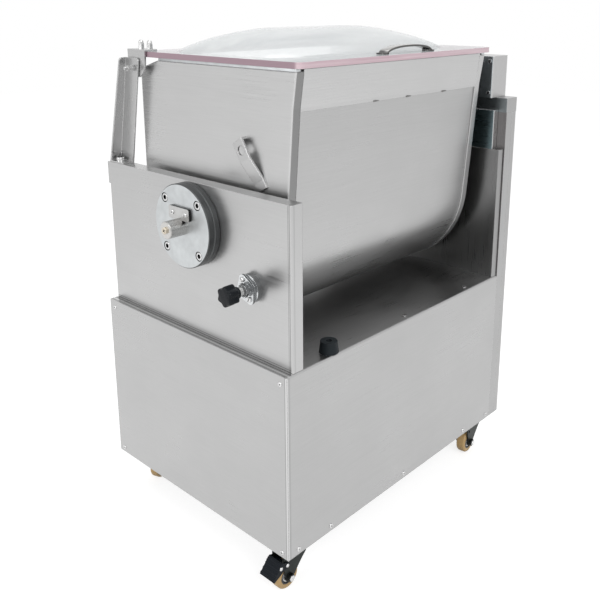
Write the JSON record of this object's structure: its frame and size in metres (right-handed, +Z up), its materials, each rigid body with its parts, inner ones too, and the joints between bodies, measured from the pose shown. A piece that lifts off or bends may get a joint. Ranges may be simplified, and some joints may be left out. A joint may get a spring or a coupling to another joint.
{
  "type": "tilting meat mixer",
  "caption": "Floor-standing stainless steel meat mixer: tilting U-shaped trough with paddle agitator, hinged clear domed lid, cabinet with chain drive housing, index plunger and swivel casters.",
  "frame": {"origin": "on the floor, under the middle of the whole machine", "axes": "+Z up, +X along the trough towards the drive housing, +Y from the front, where it pours, to the rear"},
  "size_m": [0.6058, 0.4322, 0.7782],
  "materials": {
    "stainless": "brushed stainless steel",
    "zinc": "zinc plated steel, satin",
    "machined": "turned steel",
    "bronze": "sintered bronze",
    "clear_acrylic": "clear blown acrylic",
    "black_plastic": "black moulded plastic",
    "black_rubber": "black rubber",
    "tan_tyre": "tan polyurethane tread",
    "dark_fork": "black coated pressed steel",
    "cast_housing": "grey painted casting",
    "green_plastic": "green button cap",
    "red_plastic": "red button cap"
  },
  "bodies": {
    "machine_frame": {"base_pan": "stainless", "left_end_panel": "stainless", "front_deck_cover": "stainless", "rear_panel": "stainless", "left_upright": "stainless", "right_upright": "stainless", "drive_housing": "stainless", "housing_cover": "stainless", "housing_cap": "stainless", "switch_guard": "stainless", "hinge_box": "stainless", "end_flange": "zinc", "flange_screws": "zinc", "bearing_housing": "zinc", "end_pin": "machined", "keeper_plate": "zinc", "trunnion_bushes": "bronze", "drive_chain": "machined", "gearbox": "cast_housing", "gear_motor": "cast_housing", "plunger_housing": "zinc", "hinge_post": "stainless", "rubber_bumper": "black_rubber", "small_screws": "machined", "panel_screws": "machined", "button_plate": "black_plastic", "cable_gland": "black_plastic", "caster_plates": "zinc"},
    "trough": {"trough_shell": "stainless", "trough_head_left": "stainless", "trough_head_right": "stainless", "pouring_lip": "stainless", "trunnion_left": "machined", "trunnion_right": "machined", "trough_catches": "stainless"},
    "agitator": {"agitator_shaft": "stainless", "agitator_paddles": "stainless", "drive_shaft": "machined", "driven_sprocket": "machined"},
    "gearbox_output": {"motor_sprocket": "machined"},
    "lid_pin_set": {"hinge_pins": "machined"},
    "lid": {"lid_cover": "clear_acrylic", "lid_handle": "stainless", "lid_hinge_brackets": "stainless", "lid_nuts": "machined"},
    "index_plunger": {"plunger_pin": "machined", "plunger_knob": "black_plastic"},
    "button_forward": {"forward_button": "green_plastic"},
    "button_reverse": {"reverse_button": "black_plastic"},
    "button_stop": {"stop_button": "red_plastic"},
    "caster_front_left": {"caster_fork_front_left": "dark_fork"},
    "wheel_front_left": {"caster_wheel_front_left": "tan_tyre"},
    "pedal_front_left": {"brake_pedal_front_left": "black_plastic"},
    "caster_front_right": {"caster_fork_front_right": "dark_fork"},
    "wheel_front_right": {"caster_wheel_front_right": "tan_tyre"},
    "caster_rear_left": {"caster_fork_rear_left": "dark_fork"},
    "wheel_rear_left": {"caster_wheel_rear_left": "tan_tyre"},
    "pedal_rear_left": {"brake_pedal_rear_left": "black_plastic"},
    "caster_rear_right": {"caster_fork_rear_right": "dark_fork"},
    "wheel_rear_right": {"caster_wheel_rear_right": "tan_tyre"}
  },
  "joints": [
    {"name": "trough_tilt", "type": "hinge", "parent": "machine_frame", "child": "trough", "pos_m": [-0.2661, -0.0169, 0.512], "axis": [1, 0, 0], "range_deg": [0, 82]},
    {"name": "lid_pin_turn", "type": "hinge", "parent": "machine_frame", "child": "lid_pin_set", "pos_m": [-0.2315, 0.1351, 0.72], "axis": [-1, 0, 0], "range_deg": [0, 98.5]},
    {"name": "lid_hinge", "type": "hinge", "parent": "lid_pin_set", "child": "lid", "pos_m": [-0.2315, 0.1351, 0.72], "axis": [-1, 0, 0], "range_deg": [0, 100]},
    {"name": "agitator_spin", "type": "hinge", "parent": "machine_frame", "child": "agitator", "pos_m": [-0.2661, -0.0169, 0.512], "axis": [1, 0, 0], "continuous": true},
    {"name": "gearbox_output_spin", "type": "hinge", "parent": "machine_frame", "child": "gearbox_output", "pos_m": [0.2599, -0.0169, 0.182], "axis": [1, 0, 0], "continuous": true},
    {"name": "plunger_slide", "type": "slide", "parent": "machine_frame", "child": "index_plunger", "axis": [-1, 0, 0], "range_m": [-0.004, 0.008]},
    {"name": "forward_button_press", "type": "slide", "parent": "machine_frame", "child": "button_forward", "axis": [-1, 0, 0], "range_m": [0, 0.004], "stiffness_N_per_m": 300},
    {"name": "reverse_button_press", "type": "slide", "parent": "machine_frame", "child": "button_reverse", "axis": [-1, 0, 0], "range_m": [0, 0.004], "stiffness_N_per_m": 300},
    {"name": "stop_button_press", "type": "slide", "parent": "machine_frame", "child": "button_stop", "axis": [-1, 0, 0], "range_m": [0, 0.004], "stiffness_N_per_m": 300},
    {"name": "swivel_front_left", "type": "hinge", "parent": "machine_frame", "child": "caster_front_left", "pos_m": [-0.2241, -0.1839, 0.07], "axis": [0, 0, 1], "continuous": true},
    {"name": "roll_front_left", "type": "hinge", "parent": "caster_front_left", "child": "wheel_front_left", "pos_m": [-0.2441, -0.1839, 0.0205], "axis": [0, 1, 0], "continuous": true},
    {"name": "brake_front_left", "type": "hinge", "parent": "caster_front_left", "child": "pedal_front_left", "pos_m": [-0.2511, -0.1839, 0.045], "axis": [0, -1, 0], "range_deg": [0, 10]},
    {"name": "swivel_front_right", "type": "hinge", "parent": "machine_frame", "child": "caster_front_right", "pos_m": [0.2499, -0.1839, 0.07], "axis": [0, 0, 1], "continuous": true},
    {"name": "roll_front_right", "type": "hinge", "parent": "caster_front_right", "child": "wheel_front_right", "pos_m": [0.22998, -0.18564, 0.0205], "axis": [-0.0872, 0.9962, 0], "continuous": true},
    {"name": "swivel_rear_left", "type": "hinge", "parent": "machine_frame", "child": "caster_rear_left", "pos_m": [-0.2241, 0.1611, 0.07], "axis": [0, 0, 1], "continuous": true},
    {"name": "roll_rear_left", "type": "hinge", "parent": "caster_rear_left", "child": "wheel_rear_left", "pos_m": [-0.20531, 0.16794, 0.0205], "axis": [0.342, -0.9397, 0], "continuous": true},
    {"name": "brake_rear_left", "type": "hinge", "parent": "caster_rear_left", "child": "pedal_rear_left", "pos_m": [-0.19873, 0.17033, 0.045], "axis": [-0.342, 0.9397, 0], "range_deg": [0, 10]},
    {"name": "swivel_rear_right", "type": "hinge", "parent": "machine_frame", "child": "caster_rear_right", "pos_m": [0.2499, 0.1611, 0.07], "axis": [0, 0, 1], "continuous": true},
    {"name": "roll_rear_right", "type": "hinge", "parent": "caster_rear_right", "child": "wheel_rear_right", "pos_m": [0.23258, 0.1511, 0.0205], "axis": [-0.5, 0.866, 0], "continuous": true}
  ],
  "couplings": [
    {"joint": "lid_pin_turn", "follows": "trough_tilt", "ratio": 1.2},
    {"joint": "gearbox_output_spin", "follows": "agitator_spin", "ratio": 2}
  ]
}
